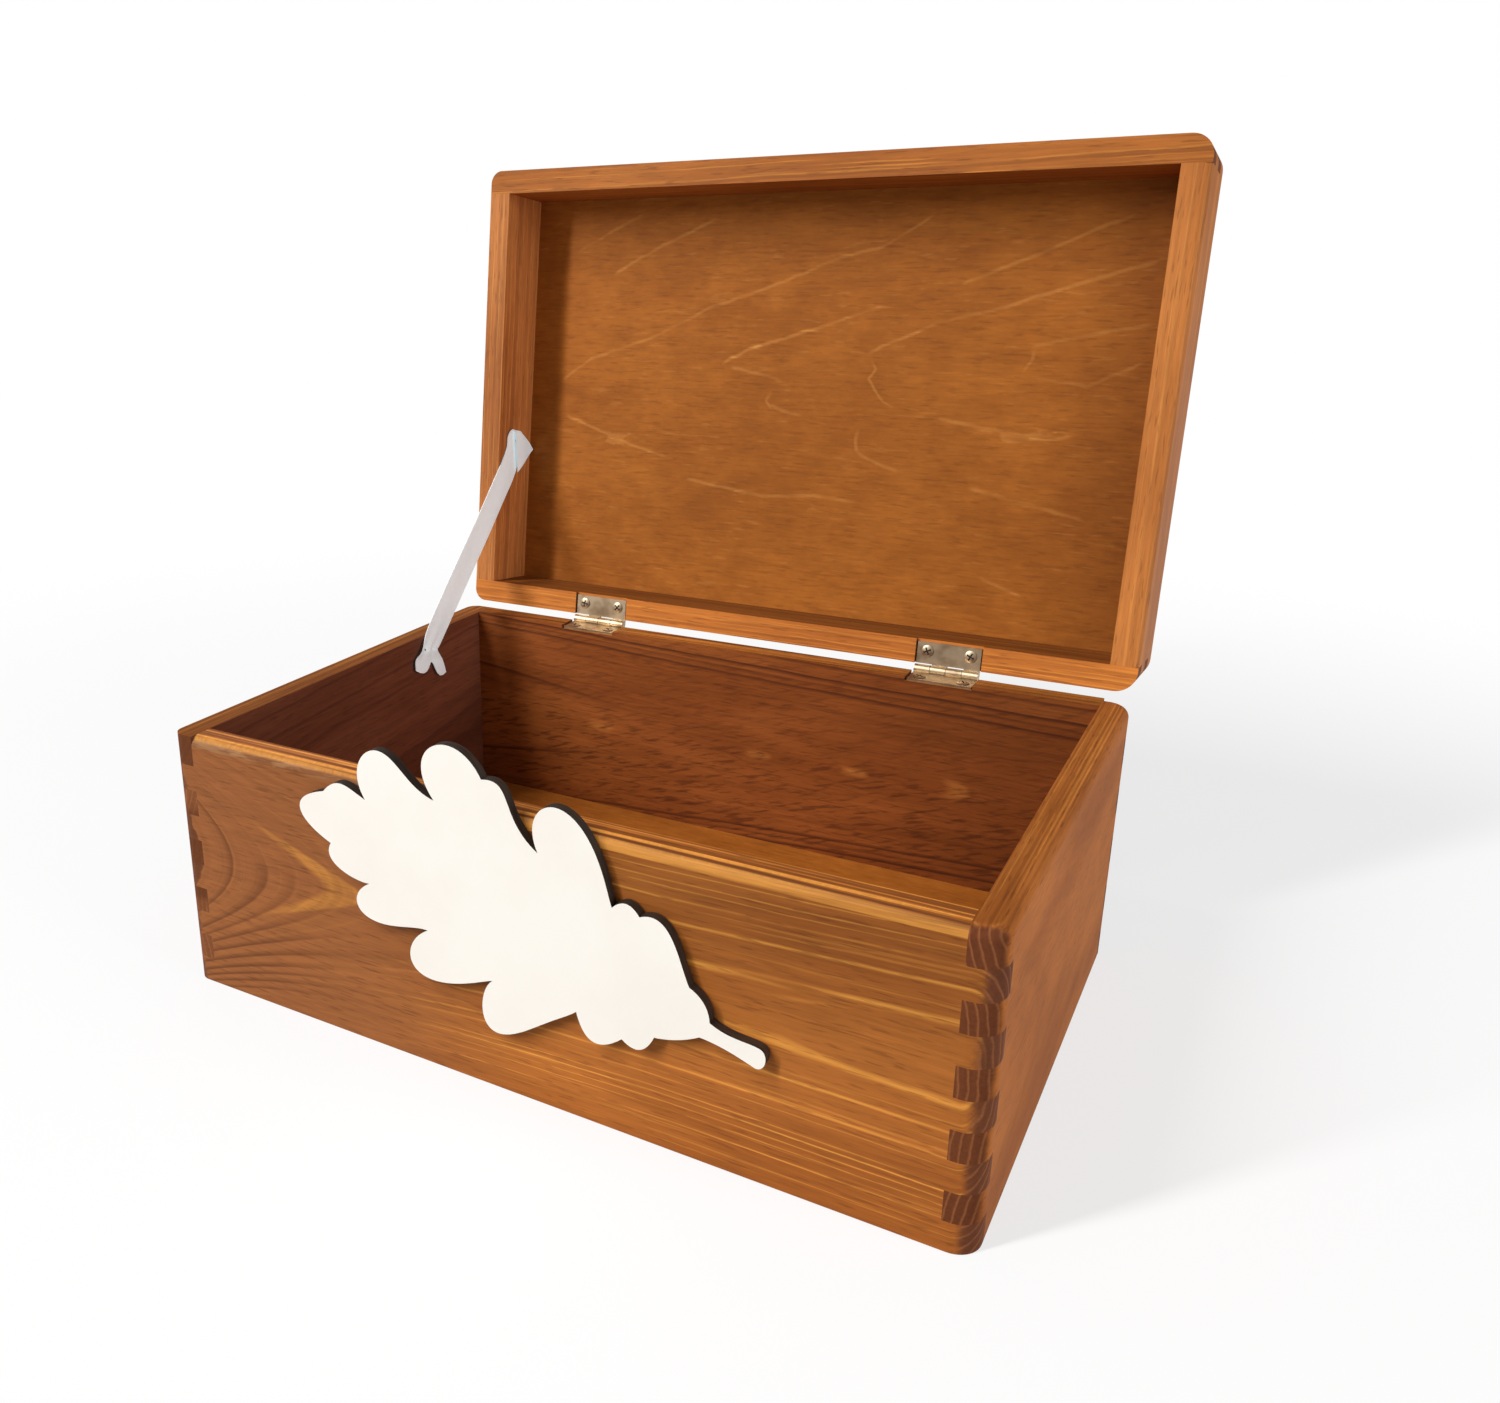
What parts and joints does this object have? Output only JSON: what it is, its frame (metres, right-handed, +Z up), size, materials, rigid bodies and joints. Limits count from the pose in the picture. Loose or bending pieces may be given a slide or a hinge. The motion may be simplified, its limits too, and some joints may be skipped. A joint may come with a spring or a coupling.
{
  "type": "wooden keepsake box with hinged lid",
  "caption": "Stained pine keepsake box with finger-jointed rounded corners, a hinged lid held open by a ribbon and a white oak-leaf plaque on the front.",
  "frame": {"origin": "middle of the box's lower front edge, on the surface that the box stands on", "axes": "+X to the right along the front, +Y from the front to the hinged back, +Z up"},
  "size_m": [0.3, 0.2683, 0.3038],
  "materials": {
    "stained_pine": "gloss varnish over walnut stain",
    "stained_plywood": "satin varnish over walnut stain",
    "nickel_steel": "nickel plated",
    "painted_plywood": "matt white face, dark cut edge",
    "foam_tape": "matt",
    "satin_ribbon": "satin"
  },
  "bodies": {
    "box": {"front_board": "stained_pine", "back_board": "stained_pine", "left_board": "stained_pine", "right_board": "stained_pine", "bottom_panel": "stained_plywood", "left_hinge_box_plate": "nickel_steel", "left_hinge_pin": "nickel_steel", "right_hinge_box_plate": "nickel_steel", "right_hinge_pin": "nickel_steel", "hinge_box_screws": "nickel_steel", "leaf_plaque": "painted_plywood", "plaque_tape": "foam_tape", "ribbon_stay": "satin_ribbon", "ribbon_box_staple": "nickel_steel"},
    "lid": {"lid_front_rail": "stained_pine", "lid_back_rail": "stained_pine", "lid_left_rail": "stained_pine", "lid_right_rail": "stained_pine", "lid_panel": "stained_plywood", "left_hinge_lid_plate": "nickel_steel", "right_hinge_lid_plate": "nickel_steel", "hinge_lid_screws": "nickel_steel", "ribbon_lid_staple": "nickel_steel"}
  },
  "joints": [
    {"name": "lid_hinge", "type": "hinge", "parent": "box", "child": "lid", "pos_m": [0, 0.2022, 0.10325], "axis": [1, 0, 0], "range_deg": [0, 97.3], "deforming": ["ribbon_stay"]}
  ]
}
